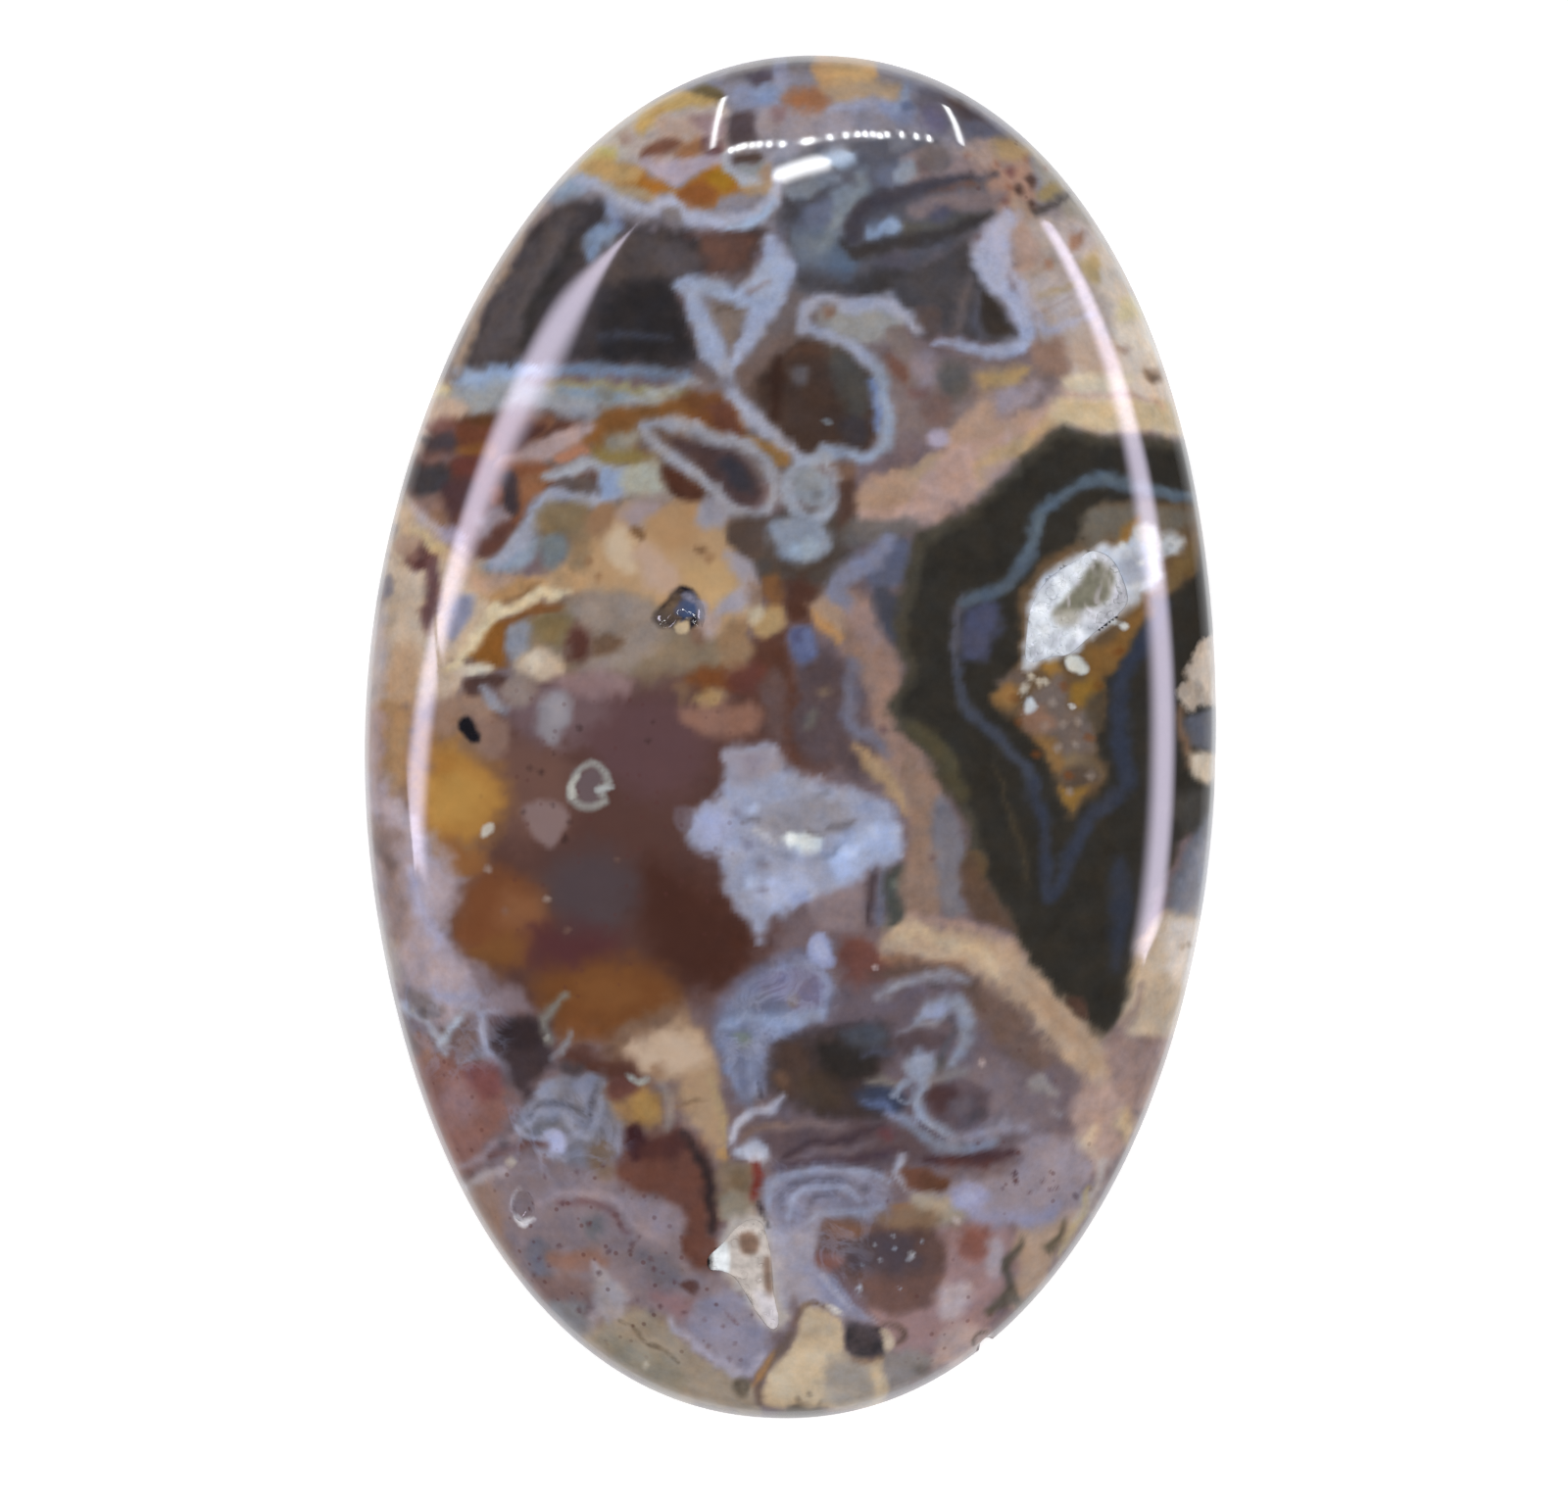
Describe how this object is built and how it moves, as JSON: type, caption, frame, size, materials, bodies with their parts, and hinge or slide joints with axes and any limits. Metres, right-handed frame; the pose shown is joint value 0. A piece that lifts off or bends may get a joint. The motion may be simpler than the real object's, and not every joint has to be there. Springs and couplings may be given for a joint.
{
  "type": "agate cabochon",
  "caption": "Oval polished agate cabochon: a flat back, a straight low girdle and a smooth dome of banded, plumed stone with small crystal-lined vugs",
  "frame": {"origin": "middle of the oval's bounding box, on the flat back that the stone lies on", "axes": "+Z rises through the dome, +Y runs along the long way of the oval, +X across it"},
  "size_m": [0.0312, 0.05, 0.006],
  "materials": {
    "agate": "polished chalcedony, glassy, plumed and banded",
    "druse": "fine natural quartz points, sparkling"
  },
  "bodies": {
    "root": {"cabochon": "agate", "shoulder_druse": "druse", "foot_druse": "druse"}
  },
  "joints": []
}
